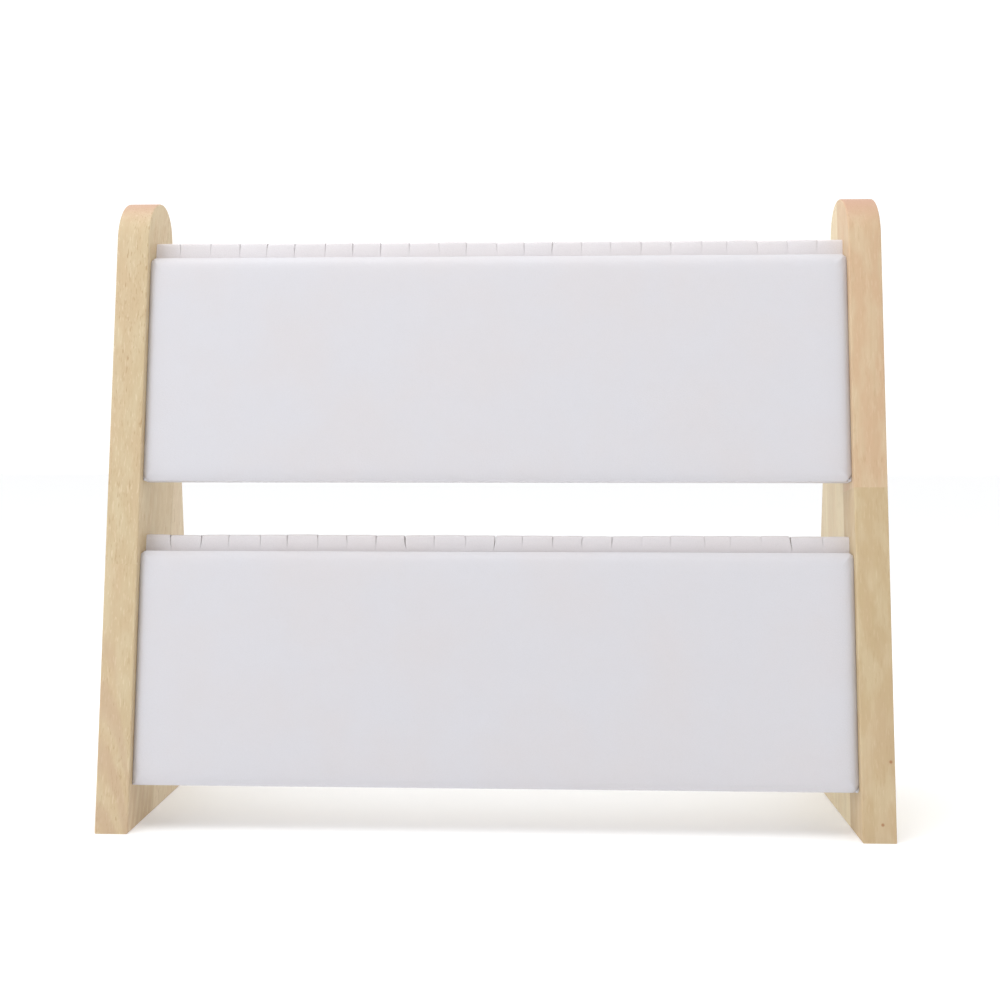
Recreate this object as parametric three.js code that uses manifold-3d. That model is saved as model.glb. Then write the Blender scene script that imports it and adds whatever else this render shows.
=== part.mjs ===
// A free-standing two-tier slotted holder. Two tapered wooden end panels carry two tilted,
// padded boards, one above the other. Behind the top edge of each pad stands a soft strip,
// slit from front to back, which grips a thin thing pushed in from above.
//
// Millimetres, +X to the right, +Y to the rear, +Z up. The origin is the centre of the
// footprint, on the surface that the end panels stand on.

import * as THREE from 'three';
import { RoundedBoxGeometry } from 'three/addons/geometries/RoundedBoxGeometry.js';
import { mergeVertices } from 'three/addons/utils/BufferGeometryUtils.js';
import Module from 'manifold-3d';

const wasm = await Module();
wasm.setup();

// Overall size and the end panels' tapered outline
const WIDTH = 332;
const HEIGHT = 271.5;
const BASE_DEPTH = 98;
const PANEL_THICKNESS = 14;
const FRONT_SLOPE = 0.152; // run to the rear for each millimetre up
const BACK_SLOPE = 0.095; // run to the front for each millimetre up
const FRONT_ARC = 22; // radius from the front edge over to the crest
const EDGE_EASE = 1; // rounding of the panels' long edges
const EASE_STEPS = 2;
const ARC_STEPS = 10;

// The two tiers, measured up the slope from the panels' foot
const TIER_STARTS = { lower: 19.8, upper: 149.2 };
const GAP = 0.3; // between neighbours that touch

// Pad: a leatherette cover turned over a foam sheet and a stiff board
const PAD_SETBACK = 1.8; // from the panels' front edge
const PAD_THICKNESS = 9;
const PAD_HEIGHT = 99.2;
const PAD_ROUNDING = 3;
const COVER_THICKNESS = 1;
const PAD_BOARD_THICKNESS = 2;
const PAD_TURNOVER = 14; // width of cover turned over behind the board
const ROUND_STEPS = 3;

// Cross board between the end panels, with its rear lining
const CROSS_THICKNESS = 12;
const CROSS_BOTTOM = 6;
const CROSS_HEIGHT = 78;
const LINING_THICKNESS = 0.8;
const LINING_MARGIN = 1.5;

// Slit strip, standing on the cross board behind the pad's top edge
const STRIP_RISE = 8; // above the pad
const STRIP_THICKNESS = 10;
const STRIP_ROUNDING = 1.2;
const SLIT_COUNT = 23;
const SLIT_PITCH = 12.8;
const SLIT_WIDTH = 0.8;
const SLIT_DEPTH = 7;

// Countersunk screws with a hexagon socket, through an end panel into a cross board
const SCREW_LENGTH = 40;
const SCREW_TIP = 4;
const SCREW_RADIUS = 2;
const HEAD_RADIUS = 4;
const HEAD_DEPTH = 2.4;
const SOCKET_RADIUS = 1.7;
const SOCKET_DEPTH = 1.8;
const SCREW_STEPS = 18;
const HEXAGON = 6;
const SCREW_HEIGHTS = { bottom: 24, top: 66 }; // up the slope, from the pad's lower edge

const LEAN = Math.atan(FRONT_SLOPE);
const INNER_WIDTH = WIDTH - 2 * PANEL_THICKNESS;
const FITTED_WIDTH = INNER_WIDTH - 2 * GAP;
const PAD_REAR = PAD_SETBACK + PAD_THICKNESS;
const CROSS_FRONT = PAD_REAR + GAP;
const CROSS_REAR = CROSS_FRONT + CROSS_THICKNESS;
const CROSS_TOP = CROSS_BOTTOM + CROSS_HEIGHT;
const STRIP_BOTTOM = CROSS_TOP + GAP;
const STRIP_TOP = PAD_HEIGHT + STRIP_RISE;
const STRIP_REAR = CROSS_FRONT + STRIP_THICKNESS;
const SKIN = COVER_THICKNESS + GAP; // from a cover's outside to its filling

const wood = new THREE.MeshStandardMaterial({ color: 0xe0caa9, roughness: 0.55, metalness: 0 });
const leatherette = new THREE.MeshStandardMaterial({ color: 0xe9e6e6, roughness: 0.5, metalness: 0 });
const foam = new THREE.MeshStandardMaterial({ color: 0xd9d4c4, roughness: 0.95, metalness: 0 });
const fibreboard = new THREE.MeshStandardMaterial({ color: 0xb08e68, roughness: 0.85, metalness: 0 });
const lining = new THREE.MeshStandardMaterial({ color: 0xdedad2, roughness: 0.8, metalness: 0 });
const steel = new THREE.MeshStandardMaterial({ color: 0xb4b6b8, roughness: 0.35, metalness: 1 });

function toManifold(geometry) {
  const bare = geometry.clone();
  bare.deleteAttribute('normal');
  bare.deleteAttribute('uv');
  const merged = mergeVertices(bare);
  return new wasm.Manifold(new wasm.Mesh({
    numProp: 3,
    vertProperties: new Float32Array(merged.attributes.position.array),
    triVerts: new Uint32Array(merged.index.array),
  }));
}

function cut(geometry, tools) {
  const body = tools.reduce((rest, tool) => rest.subtract(toManifold(tool)), toManifold(geometry));
  const { vertProperties, triVerts } = body.getMesh();
  const result = new THREE.BufferGeometry();
  result.setAttribute('position', new THREE.BufferAttribute(vertProperties, 3));
  result.setIndex(new THREE.BufferAttribute(triVerts, 1));
  result.computeVertexNormals();
  return result;
}

function piece(name, geometry, material) {
  const mesh = new THREE.Mesh(geometry, material);
  mesh.name = name;
  return mesh;
}

// A block across the holder, from front to rear and from bottom to top, with rounded edges
// where a radius is given
function slab(width, [front, rear], [bottom, top], radius = 0) {
  const size = [width, rear - front, top - bottom];
  const geometry = radius > 0
    ? new RoundedBoxGeometry(...size, ROUND_STEPS, radius)
    : new THREE.BoxGeometry(...size);
  return geometry.translate(0, (front + rear) / 2, (bottom + top) / 2);
}

// The tapered outline seen from the side: straight edges that lean towards each other, joined
// over the top by a wide arc at the front and a tighter one at the rear, which meet at the crest
function panelOutline() {
  const frontAngle = LEAN;
  const backAngle = Math.atan(BACK_SLOPE);
  const frontRun = FRONT_ARC * (1 / Math.cos(frontAngle) - FRONT_SLOPE);
  const flatTop = BASE_DEPTH - (FRONT_SLOPE + BACK_SLOPE) * HEIGHT;
  const rearArc = (flatTop - frontRun) / (1 / Math.cos(backAngle) - BACK_SLOPE);
  const crest = FRONT_SLOPE * HEIGHT + frontRun;
  const outline = new THREE.Shape();
  outline.moveTo(BASE_DEPTH, 0);
  outline.lineTo(0, 0);
  outline.absarc(crest, HEIGHT - FRONT_ARC, FRONT_ARC, Math.PI - frontAngle, Math.PI / 2, true);
  outline.absarc(crest, HEIGHT - rearArc, rearArc, Math.PI / 2, backAngle, true);
  outline.closePath();
  return outline;
}

function panelBlank(side) {
  const geometry = new THREE.ExtrudeGeometry(panelOutline(), {
    depth: PANEL_THICKNESS - 2 * EDGE_EASE,
    curveSegments: ARC_STEPS,
    bevelThickness: EDGE_EASE,
    bevelSize: EDGE_EASE,
    bevelOffset: -EDGE_EASE,
    bevelSegments: EASE_STEPS,
  });
  const depthAxis = new THREE.Vector3(0, 1, 0);
  const heightAxis = new THREE.Vector3(0, 0, 1);
  const thicknessAxis = new THREE.Vector3(1, 0, 0);
  geometry.applyMatrix4(new THREE.Matrix4().makeBasis(depthAxis, heightAxis, thicknessAxis));
  geometry.translate(-PANEL_THICKNESS / 2 + EDGE_EASE, -BASE_DEPTH / 2, 0);
  return geometry.translate(side * (WIDTH - PANEL_THICKNESS) / 2, 0, 0);
}

// A turned shape whose axis runs out through the end panel on that side
function turned(points, side) {
  const profile = points.map(([radius, height]) => new THREE.Vector2(radius, height));
  return new THREE.LatheGeometry(profile, SCREW_STEPS).rotateZ(-side * Math.PI / 2);
}

function screwGeometry(side) {
  const shank = turned([
    [0, -SCREW_LENGTH],
    [SCREW_RADIUS, SCREW_TIP - SCREW_LENGTH],
    [SCREW_RADIUS, -HEAD_DEPTH],
    [HEAD_RADIUS, 0],
    [0, 0],
  ], side);
  const socket = new THREE.CylinderGeometry(SOCKET_RADIUS, SOCKET_RADIUS, 2 * SOCKET_DEPTH, HEXAGON);
  return cut(shank, [socket.rotateZ(Math.PI / 2)]);
}

// The clearance for one screw: a countersink, then a bore that is GAP wider than the shank
function screwBore(side) {
  return turned([
    [0, -SCREW_LENGTH - GAP],
    [SCREW_RADIUS + GAP, -SCREW_LENGTH - GAP],
    [SCREW_RADIUS + GAP, -HEAD_DEPTH],
    [HEAD_RADIUS + GAP, 0],
    [HEAD_RADIUS + GAP, 2 * GAP],
    [0, 2 * GAP],
  ], side);
}

// Where one screw's head sits in its tier, sunk just below the panel's outer face
function screwSeat(side, height) {
  return [side * (WIDTH / 2 - GAP), (CROSS_FRONT + CROSS_REAR) / 2, height];
}

function placeTier(object, start) {
  object.position.set(0, start * Math.sin(LEAN) - BASE_DEPTH / 2, start * Math.cos(LEAN));
  object.rotation.x = -LEAN;
  object.updateMatrix();
}

function endPanel(name, side) {
  const bores = [];
  for (const start of Object.values(TIER_STARTS)) {
    const tier = new THREE.Object3D();
    placeTier(tier, start);
    for (const height of Object.values(SCREW_HEIGHTS)) {
      bores.push(screwBore(side).translate(...screwSeat(side, height)).applyMatrix4(tier.matrix));
    }
  }
  return piece(name, cut(panelBlank(side), bores), wood);
}

function padCover(name) {
  const outer = slab(FITTED_WIDTH, [PAD_SETBACK, PAD_REAR], [0, PAD_HEIGHT], PAD_ROUNDING);
  const cavity = slab(
    FITTED_WIDTH - 2 * COVER_THICKNESS,
    [PAD_SETBACK + COVER_THICKNESS, PAD_REAR - COVER_THICKNESS],
    [COVER_THICKNESS, PAD_HEIGHT - COVER_THICKNESS],
    PAD_ROUNDING - COVER_THICKNESS,
  );
  const opening = slab(
    FITTED_WIDTH - 2 * PAD_TURNOVER,
    [PAD_REAR - 2 * COVER_THICKNESS, PAD_REAR + COVER_THICKNESS],
    [PAD_TURNOVER, PAD_HEIGHT - PAD_TURNOVER],
  );
  return piece(name, cut(outer, [cavity, opening]), leatherette);
}

function padFoam(name) {
  const front = PAD_SETBACK + SKIN;
  const rear = PAD_REAR - SKIN - PAD_BOARD_THICKNESS - GAP;
  const rounding = PAD_ROUNDING - SKIN;
  return piece(name, slab(FITTED_WIDTH - 2 * SKIN, [front, rear], [SKIN, PAD_HEIGHT - SKIN], rounding), foam);
}

function padBoard(name) {
  const rear = PAD_REAR - SKIN;
  const inset = COVER_THICKNESS + PAD_ROUNDING / 2;
  const heights = [inset, PAD_HEIGHT - inset];
  return piece(name, slab(FITTED_WIDTH - 2 * inset, [rear - PAD_BOARD_THICKNESS, rear], heights), fibreboard);
}

function crossBoard(name) {
  const blank = slab(FITTED_WIDTH, [CROSS_FRONT, CROSS_REAR], [CROSS_BOTTOM, CROSS_TOP]);
  const bores = [];
  for (const side of [-1, 1]) {
    for (const height of Object.values(SCREW_HEIGHTS)) {
      bores.push(screwBore(side).translate(...screwSeat(side, height)));
    }
  }
  return piece(name, cut(blank, bores), fibreboard);
}

function backLining(name) {
  const front = CROSS_REAR + GAP;
  const heights = [CROSS_BOTTOM + LINING_MARGIN, CROSS_TOP - LINING_MARGIN];
  const width = FITTED_WIDTH - 2 * LINING_MARGIN;
  return piece(name, slab(width, [front, front + LINING_THICKNESS], heights), lining);
}

function slits() {
  const knives = [];
  for (let i = 0; i < SLIT_COUNT; i += 1) {
    const across = (i - (SLIT_COUNT - 1) / 2) * SLIT_PITCH;
    const heights = [STRIP_TOP - SLIT_DEPTH, STRIP_TOP + SLIT_DEPTH];
    const knife = slab(SLIT_WIDTH, [CROSS_FRONT - STRIP_THICKNESS, STRIP_REAR + STRIP_THICKNESS], heights);
    knives.push(knife.translate(across, 0, 0));
  }
  return knives;
}

// The strip's cover is open below, where it is glued down on the cross board
function slitCover(name) {
  const outer = slab(FITTED_WIDTH, [CROSS_FRONT, STRIP_REAR], [STRIP_BOTTOM, STRIP_TOP], STRIP_ROUNDING);
  const cavity = slab(
    FITTED_WIDTH - 2 * COVER_THICKNESS,
    [CROSS_FRONT + COVER_THICKNESS, STRIP_REAR - COVER_THICKNESS],
    [STRIP_BOTTOM - COVER_THICKNESS, STRIP_TOP - COVER_THICKNESS],
  );
  return piece(name, cut(outer, [cavity, ...slits()]), leatherette);
}

function slitFoam(name) {
  const bar = slab(
    FITTED_WIDTH - 2 * SKIN,
    [CROSS_FRONT + SKIN, STRIP_REAR - SKIN],
    [STRIP_BOTTOM, STRIP_TOP - SKIN],
  );
  return piece(name, cut(bar, slits()), foam);
}

function screw(name, side, height) {
  const mesh = piece(name, screwGeometry(side), steel);
  mesh.position.set(...screwSeat(side, height));
  return mesh;
}

function buildTier(level, start) {
  const tier = new THREE.Group();
  placeTier(tier, start);
  tier.add(
    padCover(`${level}_pad_cover`),
    padFoam(`${level}_pad_foam`),
    padBoard(`${level}_pad_board`),
    crossBoard(`${level}_cross_board`),
    backLining(`${level}_back_lining`),
    slitCover(`${level}_slit_cover`),
    slitFoam(`${level}_slit_foam`),
  );
  for (const [place, height] of Object.entries(SCREW_HEIGHTS)) {
    tier.add(screw(`${level}_left_${place}_screw`, -1, height));
    tier.add(screw(`${level}_right_${place}_screw`, 1, height));
  }
  return tier;
}

const holder = new THREE.Group();
holder.add(endPanel('left_end_panel', -1), endPanel('right_end_panel', 1));
for (const [level, start] of Object.entries(TIER_STARTS)) {
  holder.add(buildTier(level, start));
}

export default holder;
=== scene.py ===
"""A two-tier slotted display stand: tapered wooden end panels, padded leatherette boards and slit strips.

Everything is in metres in the CAD frame: +X right, +Y to the rear, +Z up.
"""

import math
import random

import bmesh
import bpy
import numpy as np
from mathutils import Matrix, Vector


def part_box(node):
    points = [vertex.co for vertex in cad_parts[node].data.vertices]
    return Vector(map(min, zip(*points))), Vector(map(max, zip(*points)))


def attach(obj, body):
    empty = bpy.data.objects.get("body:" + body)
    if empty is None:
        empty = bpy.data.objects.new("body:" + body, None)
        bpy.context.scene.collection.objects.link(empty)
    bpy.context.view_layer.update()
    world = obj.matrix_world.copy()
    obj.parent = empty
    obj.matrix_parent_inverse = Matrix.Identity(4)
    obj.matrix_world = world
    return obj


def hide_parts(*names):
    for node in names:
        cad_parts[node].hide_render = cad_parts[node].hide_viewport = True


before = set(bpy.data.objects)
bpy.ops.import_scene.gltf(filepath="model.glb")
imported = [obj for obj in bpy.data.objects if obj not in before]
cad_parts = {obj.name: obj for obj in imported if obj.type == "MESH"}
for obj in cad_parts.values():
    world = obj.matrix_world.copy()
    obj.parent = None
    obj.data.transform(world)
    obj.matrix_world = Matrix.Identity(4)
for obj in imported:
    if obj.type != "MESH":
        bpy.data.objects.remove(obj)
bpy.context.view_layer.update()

MM = 0.001
TIERS = ("lower", "upper")
SIDES = {"left": -1, "right": 1}

# The stand's outline, as the CAD model has it
FRONT_SLOPE = 0.152
BACK_SLOPE = 0.095
LEAN = math.atan(FRONT_SLOPE)
FRONT_ARC = 22 * MM
EDGE_EASE = 0.6 * MM

# Screws, and the countersunk holes in the panels. The cutter goes on a little past a panel's face
HOLE_RADIUS = 2.3 * MM
MOUTH_RADIUS = 4.25 * MM
PAST_FACE = 1 * MM
PAST_FACE_RADIUS = 4.6 * MM
HEAD_DEPTH = 2.4 * MM
THREAD_PITCH = 1.5 * MM
THREAD_CREST = 2.0 * MM
THREAD_ROOT = 1.45 * MM
THREAD_END = -15 * MM
POINT_LENGTH = 5 * MM

# Pads. PAD_ROUNDING and FOAM_INSET are the CAD solids'. A draw is (depth, reach from the edge)
PAD_ROUNDING = 3 * MM
FOAM_INSET = 1.3 * MM
PAD_EDGE = 0.65 * MM
PAD_CROWN = 1.3 * MM
TOP_DRAW = (1.2 * MM, 2.0 * MM)
SIDE_DRAW = (0.35 * MM, 1.3 * MM)
COVER = 0.6 * MM
TURNOVER = 14 * MM
SIDE_CLEARANCE = 0.02 * MM
FINE_BAND = 6 * MM
FINE_CELL = 0.5 * MM
FOAM_EDGE_SHARE = 0.75
FOAM_CROWN_SHARE = 0.8

# Radius of a pad's rounded corners by (side, level), and its lower corners' folds by side
PAD_CORNERS = {(-1, 1): 2.2 * MM, (1, 1): 2.0 * MM}
FOLD_DEPTHS = {"lower": {-1: 0.2 * MM, 1: 0.8 * MM}, "upper": {-1: 0.4 * MM, 1: 1.0 * MM}}
FOLD_START = 2.0 * MM
FOLD_SLOPE = 1.1
FOLD_WIDTH = 0.4 * MM
FOLD_REACH = 2.4 * MM
FOLD_DROP = 0.4

# The pads' crowning simulation
SWELL_SCALE = 10
SWELL_PRESSURE = 14
SWELL_FRAMES = 20

# Slit strips. A gape is how much wider a slit is at its top than at its foot, in mm
STRIP_LIFT = {"lower": -0.5 * MM, "upper": 0.7 * MM}
STRIP_ROUNDING = 1.2 * MM
STRIP_SKIN = 0.7 * MM
STRIP_CORE_GAP = 0.05 * MM
SLIT_COUNT = 23
SLIT_PITCH = 12.8 * MM
SLIT_DEPTH = 7 * MM
GAPING_SLITS = {
    "lower": {0: 0.34, 1: 0.16, 5: 0.14, 8: 0.6, 11: 0.5, 15: 0.16, 21: 0.62},
    "upper": {3: 0.2, 6: 0.14, 9: 0.1, 13: 0.16, 17: 0.12, 20: 0.14},
}
SLIT_SLACK = {"lower": 0.05, "upper": 0.02}
WIDE_GAPE = 0.3
WIDE_SLANT = 0.8 * MM
SAW_CUT = 0.02 * MM
FINGER_FULLNESS = 0.07 * MM

# (place across a finger, how far the edge is pulled in) at its worn left edge and its crisp right one
WORN_EDGE = ((0.0, 0.2 * MM), (0.014, 0.07 * MM), (0.035, 0.01 * MM))
CRISP_EDGE = ((0.0, 0.09 * MM), (0.009, 0.03 * MM), (0.025, 0.005 * MM))

# Rear lining
LINING_CORNER = 3 * MM
LINING_THICKNESS = 0.5 * MM
LINING_RIPPLE = 0.06 * MM

# The tier's own axes: across the stand, to the rear and up its slope
ACROSS = Vector((1, 0, 0))
REARWARD = Vector((0, math.cos(LEAN), -math.sin(LEAN)))
UPWARD = Vector((0, math.sin(LEAN), math.cos(LEAN)))
TIER_TURN = Matrix((ACROSS, REARWARD, UPWARD)).transposed()


# ---------------------------------------------------------------- reading the frame

def leaning_box(node, rounding=0.0):
    """Centre and (width, thickness, height) of a CAD slab that leans with the tiers."""
    low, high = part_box(node)
    width = high.x - low.x
    deep = high.y - low.y - 2 * rounding
    tall = high.z - low.z - 2 * rounding
    sine, cosine = math.sin(LEAN), math.cos(LEAN)
    spread = cosine * cosine - sine * sine
    thickness = (deep * cosine - tall * sine) / spread + 2 * rounding
    height = (tall * cosine - deep * sine) / spread + 2 * rounding
    return (low + high) / 2, (width, thickness, height)


def to_frame(points, centre):
    """Points in a tier's own axes, turned and moved to a centre in the frame."""
    turn = np.array(TIER_TURN)
    return np.asarray(points) @ turn.T + np.array(centre)


# ---------------------------------------------------------------- making meshes

def make_object(name, points, faces, materials, smooth=True):
    """A new object in the scene, with its faces turned outwards."""
    mesh = bpy.data.meshes.new(name)
    mesh.from_pydata([tuple(p) for p in points], [], faces)
    mesh.update()
    bm = bmesh.new()
    bm.from_mesh(mesh)
    bmesh.ops.recalc_face_normals(bm, faces=bm.faces)
    bm.to_mesh(mesh)
    bm.free()
    for material in materials:
        mesh.materials.append(material)
    piece = bpy.data.objects.new(name, mesh)
    bpy.context.scene.collection.objects.link(piece)
    if smooth:
        shade_smooth(piece)
    return piece


def shade_smooth(piece, angle=40):
    mesh = piece.data
    mesh.polygons.foreach_set("use_smooth", [True] * len(mesh.polygons))
    mesh.set_sharp_from_angle(angle=math.radians(angle))


def settle(piece):
    """Replaces the piece's mesh by what its modifiers make of it."""
    graph = bpy.context.evaluated_depsgraph_get()
    settled = bpy.data.meshes.new_from_object(piece.evaluated_get(graph))
    piece.modifiers.clear()
    piece.data = settled


def cut_away(piece, cutters):
    """Cuts the cutters' forms out of the piece, and removes them."""
    for cutter in cutters:
        boolean = piece.modifiers.new("cut", "BOOLEAN")
        boolean.operation = "DIFFERENCE"
        boolean.solver = "EXACT"
        boolean.object = cutter
        settle(piece)
        bpy.data.objects.remove(cutter)


def place(piece, node):
    """Puts a piece on the stand's one body, in the stead of its CAD node."""
    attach(piece, "root")
    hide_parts(node)


def steps(low, high, cell):
    """Evenly spaced values from low to high, about a cell apart."""
    count = max(1, round((high - low) / cell))
    return [low + (high - low) * i / count for i in range(count + 1)]


def rounded_axis(half, radius, cell, arc_steps=4, fine=0.0, fine_cell=0.0):
    """Lattice stations from -half to +half, dense where the rounding is and, if asked, beside it."""
    inner = half - radius
    arc = [inner + radius * math.tan(math.pi / 4 * i / arc_steps) for i in range(1, arc_steps + 1)]
    if fine:
        middle = steps(0, inner - fine, cell)[:-1] + steps(inner - fine, inner, fine_cell)
    else:
        middle = steps(0, inner, cell)
    positive = middle[1:] + arc
    return [-s for s in reversed(positive)] + [0.0] + positive


def ladder(a, b, rungs):
    """Quads between two rows of points, at the rungs' numbers."""
    return [[a[i], a[i + 1], b[i + 1], b[i]] for i in rungs]


def rounded_slab(size, radius, axes):
    """A closed slab of quads whose edges and corners are rounded. Axes are its three lattices."""
    half = [s / 2 for s in size]
    index = {}
    points = []
    faces = []

    def point(i, j, k):
        key = (i, j, k)
        if key not in index:
            corner = np.array([axes[0][i], axes[1][j], axes[2][k]])
            core = np.clip(corner, [radius - h for h in half], [h - radius for h in half])
            out = corner - core
            index[key] = len(points)
            points.append(core + out * radius / np.linalg.norm(out))
        return index[key]

    last = [len(a) - 1 for a in axes]
    for fixed in range(3):
        first, second = [a for a in range(3) if a != fixed]
        for end in (0, last[fixed]):
            for u in range(last[first]):
                for v in range(last[second]):
                    corners = []
                    for du, dv in ((0, 0), (1, 0), (1, 1), (0, 1)):
                        key = [0, 0, 0]
                        key[fixed], key[first], key[second] = end, u + du, v + dv
                        corners.append(point(*key))
                    faces.append(corners)
    return np.array(points), faces


def round_corners(points, half, radii):
    """Rounds a slab's corners as seen along its thickness, by the radius of each (side, level)."""
    out = points.copy()
    for (side, level), radius in radii.items():
        across = side * points[:, 0] - (half[0] - radius)
        upward = level * points[:, 2] - (half[2] - radius)
        reach = np.maximum(np.hypot(across, upward), 1e-9)
        in_corner = (across > 0) & (upward > 0)
        drawn_in = np.where(in_corner, np.maximum(across, upward) / reach - 1, 0)
        out[:, 0] += side * across * drawn_in
        out[:, 2] += level * upward * drawn_in
    return out


# ---------------------------------------------------------------- material helpers

def new_material(name):
    material = bpy.data.materials.new(name)
    material.use_nodes = True
    tree = material.node_tree
    shader = tree.nodes["Principled BSDF"]
    return material, tree, shader


def put(tree, socket, value):
    """Links an input to another socket, or sets it to a number, a vector or a colour."""
    if isinstance(value, bpy.types.NodeSocket):
        tree.links.new(value, socket)
    elif socket.type == "RGBA":
        socket.default_value = (*value, 1.0)
    else:
        socket.default_value = value


def add(tree, kind, inputs=None, **settings):
    """A new node of a kind, with its settings and inputs filled in."""
    made = tree.nodes.new(kind)
    for key, value in settings.items():
        setattr(made, key, value)
    for key, value in (inputs or {}).items():
        put(tree, made.inputs[key], value)
    return made


def maths(tree, operation, a, b=0.0, c=0.0):
    made = add(tree, "ShaderNodeMath", operation=operation)
    for socket, value in zip(made.inputs, (a, b, c)):
        put(tree, socket, value)
    return made.outputs[0]


def mix(tree, share, a, b):
    made = add(tree, "ShaderNodeMix", data_type="RGBA")
    put(tree, made.inputs[0], share)
    put(tree, made.inputs[6], a)
    put(tree, made.inputs[7], b)
    return made.outputs[2]


def spread(tree, value, low, high, to_low=0.0, to_high=1.0):
    """Maps low..high to to_low..to_high with soft ends."""
    made = add(tree, "ShaderNodeMapRange", interpolation_type="SMOOTHSTEP")
    for socket, given in zip(made.inputs, (value, low, high, to_low, to_high)):
        put(tree, socket, given)
    return made.outputs[0]


def noise(tree, vector, scale, detail=2.0, roughness=0.5, distortion=0.0):
    inputs = {"Vector": vector, "Scale": scale, "Detail": detail}
    inputs.update({"Roughness": roughness, "Distortion": distortion})
    return add(tree, "ShaderNodeTexNoise", inputs).outputs[0]


def cells(tree, vector, scale, **settings):
    made = add(tree, "ShaderNodeTexVoronoi", {"Vector": vector, "Scale": scale}, **settings)
    return made.outputs["Distance"]


def waves(tree, vector, scale, distortion, direction):
    inputs = {"Vector": vector, "Scale": scale, "Distortion": distortion}
    return add(tree, "ShaderNodeTexWave", inputs, bands_direction=direction).outputs["Fac"]


def coordinates(tree, rotation=(0, 0, 0)):
    found = add(tree, "ShaderNodeTexCoord").outputs["Object"]
    return add(tree, "ShaderNodeMapping", {"Vector": found, "Rotation": rotation}).outputs[0]


def stretched(tree, vector, scale):
    return add(tree, "ShaderNodeMapping", {"Vector": vector, "Scale": scale}).outputs[0]


def bump(tree, height, distance, strength, normal=None):
    inputs = {"Height": height, "Distance": distance, "Strength": strength}
    if normal is not None:
        inputs["Normal"] = normal
    return add(tree, "ShaderNodeBump", inputs).outputs[0]


# ---------------------------------------------------------------- materials

STAVE_BLOCK = 400 * MM
STAVE_STAGGER = 110 * MM
FLAME_ARCH = 300
FLAME_RINGS_LEAN = -8.3
FLAME_RING = 44 * MM
FLAME_BLUR = 24 * MM
KNOT_CORE = 0.3 * MM
KNOT_RIM = 0.95 * MM


def wood_figure(tree, own):
    """Noises of a stave's figure, all stretched along its grain, from the broadest to the finest."""
    return {
        "broad": noise(tree, stretched(tree, own, (1, 1, 0.14)), 58, 2, 0.5, 0.4),
        "mottle": noise(tree, stretched(tree, own, (1, 1, 0.35)), 170, 2, 0.5),
        "bands": noise(tree, stretched(tree, own, (1, 1, 0.035)), 300, 3, 0.55),
        "fine": noise(tree, stretched(tree, own, (1, 1, 0.03)), 1250, 3, 0.6),
        "pores": noise(tree, stretched(tree, own, (1, 1, 0.12)), 1800, 2, 0.45),
        "pore_patches": noise(tree, stretched(tree, own, (1, 1, 0.3)), 110, 2),
        # flecks: where the painted highlights go, light flecks that stand in for glints
        "flecks": noise(tree, stretched(tree, own, (1, 1, 0.16)), 1400, 2, 0.4),
    }


def flame_share(tree, flame, turned, mottle, rear):
    """Strength of the arched figure that flat-sawn wood shows at the foot of the front stave."""
    centre_x, top, strength = flame
    own_x = maths(tree, "SUBTRACT", turned["X"], centre_x)
    arch = maths(tree, "MULTIPLY_ADD", maths(tree, "MULTIPLY", own_x, own_x), FLAME_ARCH, turned["Z"])
    arch = maths(tree, "MULTIPLY_ADD", mottle, FLAME_BLUR, arch)
    growth = maths(tree, "MULTIPLY_ADD", turned["Y"], FLAME_RINGS_LEAN, arch)
    rings = maths(tree, "SINE", maths(tree, "MULTIPLY", growth, 2 * math.pi / FLAME_RING))
    lower_down = spread(tree, arch, top - FLAME_BLUR, top, strength, 0.0)
    lower_down = maths(tree, "MULTIPLY", lower_down, maths(tree, "SUBTRACT", 1.0, rear))
    return maths(tree, "MULTIPLY", spread(tree, rings, -1.0, 0.9), lower_down)


def knot_share(tree, place_at, knots):
    """Strength of the tiny knots: full at each one's core, none past its rim."""
    knot = 0.0
    for point in knots:
        away = add(tree, "ShaderNodeVectorMath", operation="DISTANCE")
        put(tree, away.inputs[0], place_at)
        away.inputs[1].default_value = point
        near = spread(tree, away.outputs["Value"], KNOT_CORE, KNOT_RIM, 0.75, 0.0)
        knot = maths(tree, "MAXIMUM", near, knot)
    return knot


def end_grain_share(tree, lean):
    """How far the surface faces along the grain."""
    along_grain = add(tree, "ShaderNodeVectorMath", operation="DOT_PRODUCT")
    put(tree, along_grain.inputs[0], add(tree, "ShaderNodeTexCoord").outputs["Normal"])
    along_grain.inputs[1].default_value = (0, math.sin(lean), math.cos(lean))
    facing = spread(tree, maths(tree, "ABSOLUTE", along_grain.outputs["Value"]), 0.15, 0.95)
    return maths(tree, "MULTIPLY", facing, 0.85)


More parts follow.
